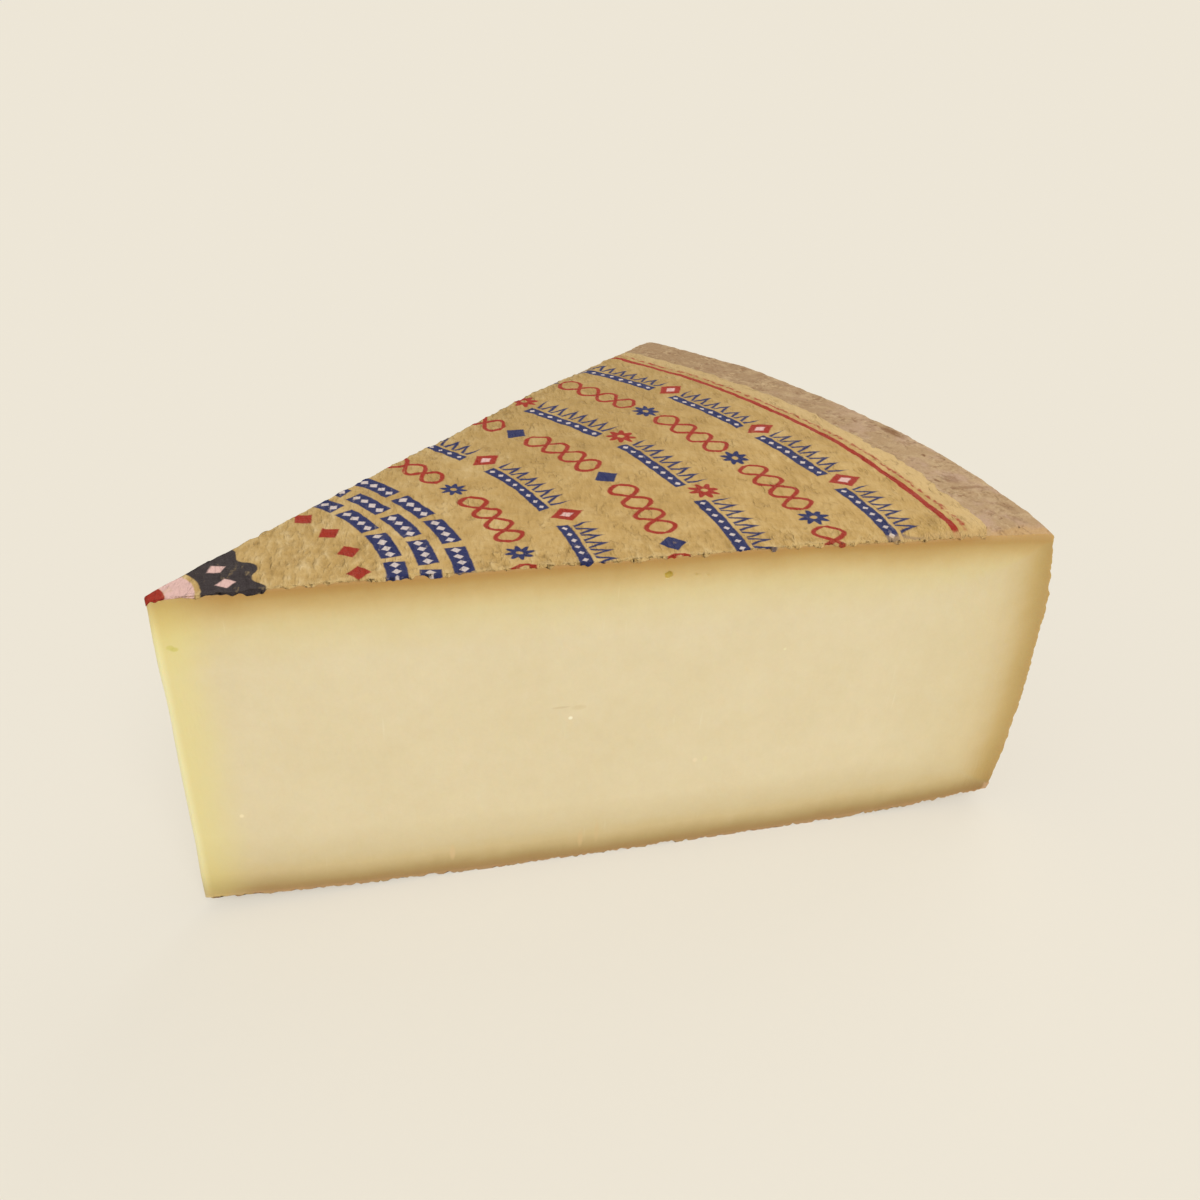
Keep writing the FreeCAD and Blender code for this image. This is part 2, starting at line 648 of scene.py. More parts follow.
def cut_block(along: int, across: int, up: int) -> bmesh.types.BMesh:
    """A block that runs from -1 to 1 each way, with its faces cut into a grid.

    Args:
        along: how many cells it has along X.
        across: how many along Y.
        up: how many along Z.

    Returns:
        The block.
    """
    block = bmesh.new()
    bmesh.ops.create_cube(block, size=2.0)
    for axis, count in enumerate((along, across, up)):
        cut_edges(
            block, lambda edge: abs(edge.verts[0].co[axis] - edge.verts[1].co[axis]) > 1, count - 1, False
        )
    block.normal_update()
    return block


def facing(faces: Iterable[bmesh.types.BMFace]) -> Vector:
    """The direction that faces look in, all together."""
    return sum((face.normal for face in faces), Vector()).normalized()


def finish_piece(
    name: str, form: bmesh.types.BMesh, finishes: Iterable[bpy.types.Material], wheel: Wheel
) -> bpy.types.Object:
    """Puts a finished mesh into the frame.

    Args:
        name: the piece's name.
        form: its mesh, in millimetres about the wheel's axis. It is freed.
        finishes: its materials, in the order of its faces' numbers.
        wheel: the wheel.

    Returns:
        The piece's object, at the origin.
    """
    bmesh.ops.scale(form, vec=Vector((MM, MM, MM)), verts=form.verts)
    bmesh.ops.translate(form, vec=Vector((wheel.axis_x, 0, 0)), verts=form.verts)
    for face in form.faces:
        face.smooth = True
    mesh = bpy.data.meshes.new(name)
    form.to_mesh(mesh)
    form.free()
    for finish in finishes:
        mesh.materials.append(finish)
    piece = bpy.data.objects.new(name, mesh)
    bpy.context.scene.collection.objects.link(piece)
    return piece


class Skin(Enum):
    """Which finish a face of the cheese takes, as its material's number."""

    PASTE = 0
    RIND = 1


@dataclass(frozen=True)
class Hollow:
    """A small round eye or nick in the right-hand cut, in millimetres."""

    along: float  # from where the cuts would meet
    below_top: float
    width: float
    depth: float
    height: float  # of its mouth, which may be flatter or taller than its width

    def dent(self, middle: Vector, place: Vector) -> float:
        """How deep it is at a place.

        Args:
            middle: the middle of its mouth.
            place: the place, on the cut.

        Returns:
            The depth, 0 outside its mouth.
        """
        offset = place - middle
        level = math.hypot(offset.x, offset.y) / (self.width / 2)
        upright = offset.z / (self.height / 2)
        spread = level**2 + upright**2
        return self.depth * math.sqrt(1 - spread) if spread < 1 else 0.0


@dataclass
class CheeseBody:
    """The cheese itself, rind and paste in one closed mesh, in millimetres."""

    wheel: Wheel
    cells_along: int = 138
    cells_across: int = 104
    cells_up: int = 84
    cells_under_paper: float = 0.74  # share of those along the wedge
    edge_cuts: int = 2  # that each cell's edge takes where a cut meets the rind
    paper_lap: float = 4.0  # how far the finer cells reach in under the paper
    level_within: float = 0.02  # how far an edge that counts as level may lean
    resting_slack: float = 0.06  # how far the underside's unevenness is drawn in
    resting_heights: tuple[float, float] = (12, 3)  # between which that sets in
    bare_from: tuple[float, float] = (5, 1)  # between which the rind is bared, in from the paper's edge
    tip_strip: tuple[float, float] = (3.5, 0.3)  # between which the tip's bends set in, from the tip
    bed: tuple[Swell, ...] = (Swell(46, 0.9, 3), Swell(14, 0.3, 7))
    wrinkles: tuple[Swell, ...] = (Swell(6.5, 0.22, 11), Swell(3.1, 0.24, 5), Swell(1.7, 0.16, 17))
    knife_waver: tuple[Swell, ...] = (Swell(75, 0.7, 23), Swell(17, 0.14, 29), Swell(4.5, 0.05, 31))
    breaks: tuple[Swell, ...] = (Swell(9, 0.15, 33), Swell(2.8, 0.32, 37), Swell(1.4, 0.34, 41))
    least_break: float = -0.2  # how far an edge may stand out between its breaks
    base_breaks: float = 3.0  # how many times deeper they are along the base
    hollows: tuple[Hollow, ...] = (
        Hollow(148.8, 6.5, 2.6, 1.2, 2.5),
        Hollow(157.6, 7.3, 1.3, 0.3, 0.9),
        Hollow(161.3, 7.8, 1.0, 0.3, 0.9),
    )
    bulge: tuple[float, float, float] = (88, 10, 1.15)  # by the right-hand cut: height, reach, size
    bulge_side: tuple[float, float] = (-60, -100)  # between which it sets in, along Y
    bulge_radii: tuple[float, float] = (262, 280)  # and from the middle of the wheel's base
    lowest: float = 0.02  # how near the floor an edge may come
    hollow_reach: float = 3.2  # round an eye, how far its finer cells go
    hollow_cuts: int = 4

    def build(self, paste: bpy.types.Material, rind: bpy.types.Material) -> bpy.types.Object:
        """Makes the piece.

        Args:
            paste: the finish of the two cuts and the tip.
            rind: the finish of the top, the heel and the base.

        Returns:
            The piece's object.
        """
        form = cut_block(self.cells_along, self.cells_across, self.cells_up)
        self.sort_faces(form)
        self.bend(form)
        self.refine(form)
        form.normal_update()
        self.roughen(form)
        self.sharpen_edges(form)
        return finish_piece("cheese_body", form, (paste, rind), self.wheel)

    @staticmethod
    def sort_faces(form: bmesh.types.BMesh) -> None:
        """Gives each face its finish, by the way it looks.

        Args:
            form: the block.
        """
        for face in form.faces:
            is_rind = max(abs(face.normal.z), face.normal.x) > LOOKS_THAT_WAY
            face.material_index = (Skin.RIND if is_rind else Skin.PASTE).value

    def bend(self, form: bmesh.types.BMesh) -> None:
        """Bends the block into the wedge, with finer cells beyond the paper.

        Args:
            form: the block.
        """
        fine_from = (self.wheel.paper_radius - self.paper_lap) / self.wheel.radius
        for vert in form.verts:
            along, across, up = (vert.co.x + 1) / 2, vert.co.y, (vert.co.z + 1) / 2
            if along < self.cells_under_paper:
                along *= fine_from / self.cells_under_paper
            else:
                beyond = (along - self.cells_under_paper) / (1 - self.cells_under_paper)
                along = fine_from + beyond * (1 - fine_from)
            vert.co = self.wheel.body_place(along, across, up)

    def refine(self, form: bmesh.types.BMesh) -> None:
        """Cuts finer cells into the bare rind, along the cuts' edges and round the eyes.

        Args:
            form: the wedge.
        """
        form.normal_update()
        cut_edges(form, self.rings_bare_rind, 1, True)
        cut_edges(form, self.is_border, self.edge_cuts, False)
        for hollow in self.hollows:
            middle = self.wheel.on_right_cut(hollow.along, hollow.below_top)
            cut_edges(form, partial(self.is_near, middle), self.hollow_cuts, True)

    def rings_bare_rind(self, edge: bmesh.types.BMEdge) -> bool:
        """Whether an edge runs level round the wheel where the top and the heel are bare.

        Args:
            edge: an edge of the wedge.

        Returns:
            Whether it does.
        """
        bare = self.wheel.paper_radius - self.paper_lap
        first, second = (vert.co for vert in edge.verts)
        return (
            all(
                face.material_index == Skin.RIND.value and face.normal.z > -LOOKS_THAT_WAY
                for face in edge.link_faces
            )
            and min(first.xy.length, second.xy.length) > bare
            and abs(first.xy.length - second.xy.length) < self.level_within
            and abs(first.z - second.z) < self.level_within
        )

    @staticmethod
    def is_border(edge: bmesh.types.BMEdge) -> bool:
        """Whether an edge has paste on one side and rind on the other."""
        return len({face.material_index for face in edge.link_faces}) > 1

    def is_near(self, middle: Vector, edge: bmesh.types.BMEdge) -> bool:
        """Whether an edge is within an eye's reach of its middle."""
        return all((vert.co - middle).length < self.hollow_reach for vert in edge.verts)

    def rind_relief(self, place: Vector) -> float:
        """How far the rind stands out: less under the paper, which bridges it.

        Args:
            place: the place on the smooth wedge.

        Returns:
            How far, below 0 where it is sunk.
        """
        relief = unevenness(self.bed, place) + self.bareness(place) * unevenness(self.wrinkles, place)
        middle, reach, size = self.bulge
        bulge = size * math.exp(-(((place.z - middle) / reach) ** 2))
        relief += bulge * eased(place.y, *self.bulge_side) * eased(place.length, *self.bulge_radii)
        resting = eased(place.z, *self.resting_heights)
        return relief - resting * (self.resting_slack + max(0.0, relief))

    def bareness(self, place: Vector) -> float:
        """How bare the rind is.

        Args:
            place: the place on the smooth wedge.

        Returns:
            1 where the rind shows and 0 where the paper covers it.
        """
        if place.z < self.wheel.height / 2:
            return 1.0
        return eased(place.xy.length, *(self.wheel.paper_radius - inside for inside in self.bare_from))

    def break_depth(self, place: Vector) -> float:
        """How far an edge is drawn in where the rind broke under the knife."""
        depth = self.bareness(place) * max(self.least_break, unevenness(self.breaks, place))
        return depth * (self.base_breaks if place.z < self.wheel.base_rim_lift + 1 else 1.0)

    def roughen(self, form: bmesh.types.BMesh) -> None:
        """Notes how deep each vertex lies under each face, then makes the surfaces uneven.

        Args:
            form: the wedge.
        """
        wheel = self.wheel
        layers = {
            name: form.verts.layers.float.new(name)
            for name in ("under_top", "over_base", "from_heel", "from_tip", "hollow")
        }
        tip = wheel.rounding_middle() - wheel.tip_radius
        middles = [wheel.on_right_cut(hollow.along, hollow.below_top) for hollow in self.hollows]
        for vert in form.verts:
            place = vert.co.copy()
            radius = place.xy.length
            vert[layers["under_top"]] = wheel.top(radius) - wheel.sag(place) - place.z
            vert[layers["over_base"]] = place.z - wheel.base(radius)
            vert[layers["from_heel"]] = wheel.heel(place.z) - radius
            vert[layers["from_tip"]] = place.x - tip
            rind = [face for face in vert.link_faces if face.material_index == Skin.RIND.value]
            paste = [face for face in vert.link_faces if face.material_index == Skin.PASTE.value]
            if rind:
                vert.co += facing(rind) * self.rind_relief(place)
            if paste:
                stray = wheel.tip_bend(place.z) * eased(place.x - tip, *self.tip_strip)
                vert.co += facing(paste) * (unevenness(self.knife_waver, place) + stray)
            if rind and paste:
                vert.co -= facing(rind) * self.break_depth(place)
                vert.co.z = max(vert.co.z, self.lowest)
            if paste and place.y < 0:
                dents = [hollow.dent(middle, place) for hollow, middle in zip(self.hollows, middles)]
                vert.co -= facing(paste) * max(dents)
                vert[layers["hollow"]] = max(dents)

    @staticmethod
    def sharpen_edges(form: bmesh.types.BMesh) -> None:
        """Keeps the shading from running round the edges where the knife met the rind."""
        for edge in form.edges:
            edge.smooth = not CheeseBody.is_border(edge)


@dataclass
class TopPaper:
    """The printed paper on the top, which ends in a ragged edge short of the rim."""

    cheese: CheeseBody
    cells_along: int = 228
    cells_across: int = 168
    thickness: float = 0.3
    sunk: float = 0.1  # how far its underside reaches into the rind
    overhang: float = 0.1  # how far it stands past the cuts
    crinkles: tuple[Swell, ...] = (Swell(7.5, 0.3, 43), Swell(3.4, 0.24, 47), Swell(2.1, 0.14, 51))
    least_crinkle: float = -0.16  # how far a crinkle may dip
    tear: tuple[Swell, ...] = (Swell(24, 1.6, 53), Swell(6, 1.1, 59), Swell(2.6, 0.9, 61))
    fray: tuple[Swell, ...] = (Swell(3.2, 0.4, 67), Swell(1.5, 0.3, 71))
    curl: tuple[Swell, ...] = (Swell(3.6, 0.4, 73), Swell(1.7, 0.3, 79))
    flaps: tuple[Swell, ...] = (Swell(11, 1.2, 83), Swell(2.9, 1.9, 89), Swell(1.4, 0.7, 97))
    least_flap: float = 0.25  # how far down a cut its edge mostly hangs
    most_flap: float = 1.3  # how far a flap of it may hang
    tip_share: float = 0.015  # of its length, where the tip's bends set in
    hem_cuts: int = 2  # that each cell's edge takes along the cuts

    def build(self, paper: bpy.types.Material) -> bpy.types.Object:
        """Makes the piece.

        Args:
            paper: its finish.

        Returns:
            The piece's object.
        """
        form = cut_block(self.cells_along, self.cells_across, 1)
        cut_edges(form, self.is_hem, self.hem_cuts, True)
        for vert in form.verts:
            vert.co = self.lie((vert.co.x + 1) / 2, vert.co.y, vert.co.z > 0)
        return finish_piece("top_paper", form, (paper,), self.cheese.wheel)

    @staticmethod
    def is_hem(edge: bmesh.types.BMEdge) -> bool:
        """Whether an edge of the block runs along one of the cuts."""
        first, second = (vert.co for vert in edge.verts)
        return abs(first.y + second.y) > BOTH_ENDS_OUT and first.x != second.x

    def lie(self, along: float, across: float, on_top: bool) -> Vector:
        """Where a point of the flat paper comes to lie on the cheese.

        Args:
            along: from 0 at the tip to 1 at the ragged edge.
            across: from -1 on the right-hand cut to 1 on the left-hand one.
            on_top: whether it is on the paper's upper side.

        Returns:
            The place.
        """
        wheel = self.cheese.wheel
        reach = wheel.paper_radius
        reach += unevenness(self.tear, wheel.plan(1, across, reach))
        place = wheel.plan(along, across, reach)
        place.z = wheel.top(place.length) - wheel.sag(place)
        rise = unevenness(self.cheese.bed, place) - self.sunk
        if on_top:
            crinkle = max(self.least_crinkle, unevenness(self.crinkles, place))
            rise += self.sunk + self.thickness + crinkle
        if along == 0 or abs(across) == 1:
            fray = max(0.0, unevenness(self.fray, place))
            waver = unevenness(self.cheese.knife_waver, place)
            waver += wheel.tip_bend(place.z) * eased(along, self.tip_share, 0.0)
            flap = min(self.most_flap, max(0.0, unevenness(self.flaps, place) + self.least_flap))
            rise += max(self.least_crinkle, unevenness(self.curl, place)) if on_top else -flap
            place += wheel.outward(across) * (self.overhang + fray + waver)
        return place + Vector((0, 0, rise))


# Finishes


@dataclass(frozen=True)
class Mark:
    """A small mark on the right-hand cut, in millimetres."""

    along: float  # of its middle, from where the cuts would meet
    up: float  # of its middle, from the floor
    length: float
    height: float
    tone: str
    strength: float

    def mask(self, along: Field, up: Field) -> Field:
        """How strongly it shows at a place on the cut."""
        level, upright = (along - self.along) * (2 / self.length), (up - self.up) * (2 / self.height)
        return (level * level + upright * upright).rise(1.5, 0.1) * self.strength


@dataclass(frozen=True)
class Paste:
    """The cut cheese: pale straw, browner under the rind, with painted glow at the thin tip standing in for
    light shining through it, and painted shade in its eye.
    """

    body: str = "E6D4AD"
    body_dull: str = "E0D0A7"
    body_clear: str = "EADCB8"
    under_top: Mapping[float, str] = field(
        default_factory=lambda: {
            0.0: "C6985E", 1.2: "BA8E4E", 2.4: "BE9654", 4.0: "C7A466", 6.0: "D0B074",
            8.5: "D9BE85", 12.0: "E0CB97", 17.0: "E4D1A3", 26.0: "E6D4AD",
        }
    )
    over_base: Mapping[float, str] = field(
        default_factory=lambda: {
            0.0: "BD986B", 0.7: "B68F63", 1.6: "AB8958", 3.0: "AE8E5A", 5.0: "B99E6B",
            7.5: "CAB17F", 10.0: "D5BE8D", 15.0: "DCC89D", 26.0: "E6D4AD",
        }
    )
    from_heel: Mapping[float, str] = field(
        default_factory=lambda: {
            0.0: "BE9C62", 1.8: "BE9D60", 4.0: "C3A467", 6.5: "CBAD72", 9.0: "D2B781",
            13.0: "D9C190", 19.0: "DFCA9D", 32.0: "E2CFA5", 60.0: "E6D4AD",
        }
    )
    # Painted glow: the next three colours stand in for light shining through the thin tip. They are
    # yellower near it, paler at its very edge, and what the darker bands fade to there.
    tip: str = "EADF9F"
    tip_edge_glow: str = "F6F1C6"
    tip_glow_fade: str = "FFFAE6"  # what its bands fade to at the tip
    bare_edge: str = "C8A56B"
    skin_brown: str = "AC7C4A"
    skin_olive: str = "A68A4C"
    skin_rosy: str = "D6B08C"
    # Painted shade: olive-yellow in the hollow of the eye, where it dents the cut.
    eye_shade: str = "C2A83E"
    crystal: str = "F4ECD2"
    marks: tuple[Mark, ...] = (
        Mark(6.4, 102.0, 2.3, 1.7, "D2C75C", 0.5),
        Mark(7.4, 101.3, 2.3, 1.5, "CFC557", 0.55),
        Mark(117.0, 66.5, 6.0, 0.9, "CDB684", 0.4),
        Mark(122.8, 65.8, 5.0, 2.0, "CBB37A", 0.25),
        Mark(120.2, 61.9, 1.5, 1.4, "FFF8DC", 0.9),
        Mark(81.4, 10.0, 2.0, 7.0, "E0C494", 0.55),
        Mark(125.2, 8.4, 1.9, 7.5, "DCC08E", 0.5),
        Mark(130.9, 11.0, 1.8, 10.0, "DCC08E", 0.35),
        Mark(163.9, 38.0, 1.8, 1.9, "F6E4C2", 0.55),
        Mark(167.4, 37.9, 1.8, 2.6, "E8DEAC", 0.5),
        Mark(190.6, 80.0, 1.1, 1.1, "FBF6D2", 0.4),
        Mark(17.3, 37.9, 1.4, 1.5, "FAECC6", 0.8),
    )

    def build(self, wheel: Wheel) -> bpy.types.Material:
        """Makes the material.

        Args:
            wheel: the wheel.

        Returns:
            The material.
        """
        shader = Shader("cut_paste", wheel)
        waver = shader.clouds(16) * 2.6 + shader.clouds(4) * 0.7
        tone = self.body_tone(shader, waver)
        tone = self.rind_line(shader, tone)
        run = shader.x + wheel.cuts_meet_past_axis
        along = run * math.cos(wheel.half_angle) - shader.y * math.sin(wheel.half_angle)
        on_right = shader.y.rise(0.4, -0.4)
        marks = [(mark.mask(along, shader.z) * on_right, mark.tone) for mark in self.marks]
        tone = shader.laid(tone, *marks)
        crystals = shader.spots(9.0, 0.6, 0.05, shader.shifted(0.5, 1.5))
        # Painted shade in the eye's hollow, by how deep the cut is dented there.
        eye_shade = shader.attribute("hollow").rise(0.05, 0.6)
        tone = shader.laid(tone, (crystals * 0.5, self.crystal), (eye_shade * 0.85, self.eye_shade))
        roughness = 0.52 + shader.clouds(9) * 0.12 + shader.clouds(0.8) * 0.1
        drag = shader.clouds(1.1, 3, shader.drawn_out((1, 1, 8))) * 0.07
        relief = drag + shader.clouds(0.9, 2) * 0.05 + shader.clouds(6, 2) * 0.12
        constants = {
            "Specular IOR Level": 0.35,
            "Subsurface Weight": 0.25,
            "Subsurface Radius": (1.0, 0.7, 0.35),
            "Subsurface Scale": 0.003,
        }
        return shader.finish(tone, roughness, relief, constants)

    def body_tone(self, shader: Shader, waver: Field) -> Value:
        """The paste's colour by how deep it lies under each face, with painted glow at the thin tip, where
        light shines through.

        Args:
            shader: the material's nodes.
            waver: how far the darker bands stray, in millimetres.

        Returns:
            The colour's socket.
        """
        mottle = shader.clouds(22, 3) * 0.7 + shader.clouds(5, 3) * 0.5 + shader.clouds(1.2) * 0.35
        tone = shader.mix(0.5 + mottle, linear(self.body_dull), linear(self.body_clear))
        streaks = shader.clouds(1.5, 1, shader.drawn_out((1, 1, 14))).rise(0.17, 0.3)
        streaks = streaks * shader.clouds(20, 2).rise(0, 0.2)
        from_tip = shader.attribute("from_tip")
        # Painted glow: light shining through the thin tip, yellower within about 17 mm of it and paler at
        # its very edge.
        tip_glow = (from_tip + waver * 1.5).rise(17, 1)
        tone = shader.laid(
            tone,
            (streaks * 0.3, self.crystal),
            (tip_glow * 0.75, self.tip),
            (from_tip.rise(2.4, 0) * 0.8, self.tip_edge_glow),
        )
        shade = None
        for name, tones, heaped in (
            ("over_base", self.over_base, 0.0),
            ("from_heel", self.from_heel, 0.45),
            ("under_top", self.under_top, 0.12),
        ):
            depth = shader.attribute(name)
            depth = depth + waver * depth.rise(0.5, 5)
            shares = {place: share_of(hue, self.body) for place, hue in tones.items()}
            band = shader.ramp(depth, max(tones), shares)
            if shade:
                darker = shader.mix(1.0, shade, band, "DARKEN")
                band = shader.mix(heaped, darker, shader.mix(1.0, shade, band, "MULTIPLY"))
            shade = band
        # Painted glow: near the thin tip the darker bands fade out, where light shines through.
        shade = shader.laid(shade, ((from_tip + waver).rise(19, 2) * 0.35, self.tip_glow_fade))
        return shader.mix(1.0, tone, shade, "MULTIPLY")

    def rind_line(self, shader: Shader, tone: Value) -> Value:
        """Adds the thin, broken line of rind along the cut's lower and outer edges.

        Args:
            shader: the material's nodes.
            tone: the paste's colour.

        Returns:
            The colour's socket.
        """
        over_base, from_heel = shader.attribute("over_base"), shader.attribute("from_heel")
        under_top = shader.attribute("under_top")
        bare = (shader.radius + shader.clouds(9) * 8).rise(246, 258) * under_top.rise(3.5, 0.8)
        tone = shader.laid(tone, (bare * 0.65, self.bare_edge))
        ragged = shader.clouds(2.4, 3) * 1.8
        edge = (over_base.at_most(from_heel + 0.3) + ragged).rise(0.6, 0.1)
        olive = shader.clouds(7, 3).rise(-0.1, 0.1)
        skin = shader.mix(olive, linear(self.skin_brown), linear(self.skin_olive))
        skin = shader.laid(skin, (shader.clouds(4, 3).rise(0.05, 0.15), self.skin_rosy))
        corner = (over_base * 0.55).at_least(from_heel) + ragged
        tone = shader.mix(edge * 0.5, tone, skin)
        return shader.laid(tone, (corner.rise(2.6, 1.7) * 0.5, self.skin_rosy))


@dataclass(frozen=True)
class Stain:
    """A darker mark on the bare band of the top, in millimetres."""

    bearing: float  # round the wheel from +X, in degrees
    radius: float  # of its middle, from the axis
    length: float  # round the wheel
    width: float  # along the radius
    strength: float

    def mask(self, shader: Shader) -> Field:
        """How strongly it shows.

        Args:
            shader: the material's nodes.

        Returns:
            Its strength in its middle and 0 outside it.
        """
        turn = math.radians(self.bearing)
        middle = (self.radius * math.cos(turn), self.radius * math.sin(turn), 0.0)
        values = {
            "Vector": shader.shifted(0.9, 2.2),
            "Location": middle,
            "Rotation": (0.0, 0.0, turn),
            "Scale": (self.width / 2, self.length / 2, 1000.0),
        }
        local = shader.node("ShaderNodeMapping", {"vector_type": "TEXTURE"}, values).outputs[0]
        settings = {"operation": "LENGTH"}
        away = shader.node("ShaderNodeVectorMath", settings, {0: local}).outputs["Value"]
        return Field(shader, away).rise(1.25, 0.45) * self.strength


@dataclass(frozen=True)
class Rind:
    """The brushed rind: greyed tan on the top, browner on the heel and the base, with painted shade in its
    grooves and pits and painted highlights on its ridges.
    """

    tan: str = "C0A27A"
    rose: str = "CBAC92"
    far_tan: str = "AF916C"
    straw: str = "D6BC92"
    brown: str = "8F6944"
    # Painted shade: how dark the rind's small pits are painted.
    pit_shade: str = "6B4A30"
    heel: str = "A98258"
    heel_dark: str = "8B6541"
    heel_pale: str = "C2A078"
    cut_edge: str = "D3AE78"
    grain_share: str = "DCCBB6"  # what its grain is dulled by
    stains: tuple[Stain, ...] = (
        Stain(-5.6, 271.5, 13, 5.5, 0.95),
        Stain(-16.0, 264.0, 2.4, 19, 0.6),
        Stain(-14.6, 263.0, 8, 6, 0.5),
        Stain(-10.2, 266.9, 2.2, 1.5, 1.0),
        Stain(-14.5, 257.3, 3.4, 1.4, 0.9),
        Stain(-19.4, 270.0, 9, 5, 0.4),
        Stain(9.0, 271.0, 12, 4, 0.4),
    )

    def build(self, wheel: Wheel) -> bpy.types.Material:
        """Makes the material.

        Args:
            wheel: the wheel.

        Returns:
            The material.
        """
        shader = Shader("brushed_rind", wheel)
        down = shader.attribute("under_top")
        heel = (down + shader.clouds(7) * 3).rise(1.0, 8.0)
        # Painted shade in the small pits, which the relief also sinks.
        pits = shader.spots(6.0, 0.55, 0.3, shader.shifted(0.7, 2.0))
        # Painted shade and highlight: the winding wrinkles that the relief sinks and raises are painted
        # brown in their grooves and straw on their ridges.
        shaded_grooves, lit_ridges = self.worms(shader, 3.4), self.worms(shader, 4.1)
        flecks = shader.clouds(1.9, 3, shader.shifted(0.8, 3))
        flecked = shader.clouds(13, 2).rise(-0.08, 0.12) * (0.75 - heel * 0.4)
        tone = shader.laid(
            shader.mix(heel, self.top_tone(shader), self.heel_tone(shader)),
            (shaded_grooves * (0.4 - heel * 0.2), self.brown),
            (lit_ridges * (0.5 - heel * 0.3), self.straw),
            (flecks.rise(0.04, 0.2) * flecked, self.straw),
            (flecks.rise(-0.04, -0.2) * flecked, self.brown),
            (pits * 0.6, self.pit_shade),
        )
        grain = shader.clouds(0.8, 3) * 0.9
        tone = shader.mix(0.4 + grain, tone, shader.mix(1.0, tone, linear(self.grain_share), "MULTIPLY"))
        roughness = 0.72 + shader.clouds(6) * 0.2
        relief = shader.clouds(1.1, 4) * 0.3 + (lit_ridges - shaded_grooves) * 0.16 - pits * 0.4
        relief = relief + shader.clouds(4.5, 3) * 0.4 + self.cloth(shader) * heel * 0.12
        return shader.finish(tone, roughness, relief, {"Specular IOR Level": 0.25})

    @staticmethod
    def worms(shader: Shader, size: float) -> Field:
        """Short, soft, winding wrinkles.

        Args:
            shader: the material's nodes.
            size: how far apart they are, in millimetres.

        Returns:
            1 along a wrinkle and 0 away from it.
        """
        ridges = abs(shader.clouds(size, 1.5, shader.shifted(1.2, size))).rise(0.085, 0.01)
        return ridges * shader.clouds(size * 1.7, 2).rise(0.0, 0.14)

    def top_tone(self, shader: Shader) -> Value:
        """The bare band of the top: tan with rosy patches, duller on the left, and its stains.

        Args:
            shader: the material's nodes.

        Returns:
            The colour's socket.
        """
        left = (shader.y + shader.clouds(40) * 60).rise(-75, 80)
        patches = shader.clouds(12, 3, shader.shifted(3, 9))
        margin = shader.radius + shader.clouds(4, 3) * 5
        drag = shader.clouds(3, 3, shader.drawn_out((3, 1, 1))) * 5
        smeared = (shader.from_cut() + drag).rise(3.2, 0.8)
        return shader.laid(
            linear(self.tan),
            (left, self.far_tan),
            (patches.rise(-0.08, 0.16) * (1 - left) * 0.9, self.rose),
            (shader.clouds(8, 4).rise(0.02, 0.22) * 0.6, self.straw),
            (shader.clouds(7, 4).rise(0.06, 0.24) * 0.6, self.brown),
            *((stain.mask(shader), self.brown) for stain in self.stains),
            (margin.rise(255, 251) * 0.5, self.straw),
            (smeared * 0.75, self.cut_edge),
        )

    def heel_tone(self, shader: Shader) -> Value:
        """The outer wall and the base: brown, with a pale bloom and darker smears.

        Args:
            shader: the material's nodes.

        Returns:
            The colour's socket.
        """
        broad = shader.clouds(45, 3, shader.shifted(9, 30))
        bloom = shader.clouds(9, 5, shader.drawn_out((2.4, 2.4, 1)))
        smears = shader.clouds(6, 5, shader.drawn_out((3, 3, 1), shader.shifted(2, 8)))
        threads = (0.5 + self.cloth(shader) * 0.5) * (shader.clouds(14, 3) + 0.5)
        return shader.laid(
            linear(self.heel_dark),
            (broad.rise(-0.2, 0.2), self.heel),
            (bloom.rise(-0.05, 0.3) * 0.6, self.heel_pale),
            (smears.rise(0.05, 0.28) * 0.5, self.heel_dark),
            (threads * 0.3, self.heel_dark),
        )

    @staticmethod
    def cloth(shader: Shader) -> Field:
        """The print of the cloth that the wheel was pressed in.

        Args:
            shader: the material's nodes.

        Returns:
            Its threads, from -1 to 1.
        """
        pitch, reach = 1.7, 270
        along = (shader.y.bearing(shader.x) * (reach * math.tau / pitch)).cosine()
        upright = ((shader.z + shader.clouds(12) * 1.5) * (math.tau / pitch)).cosine()
        return along * upright


class Motif(Enum):
    """What a ring of the paper's print repeats, by the method that draws it."""

    PEAKS = "peaks"
    PLAIT = "plait"
    LOZENGE = "lozenge"
    STAR = "star"
    BAR = "bar"
    PANEL = "panel"


class Ink(Enum):
    """The print's inks."""

    COAL = "383031"
    PALE = "D6C6BE"
    NAVY = "282E5B"
    RED = "A12F1D"
    PINK = "E4BBB0"


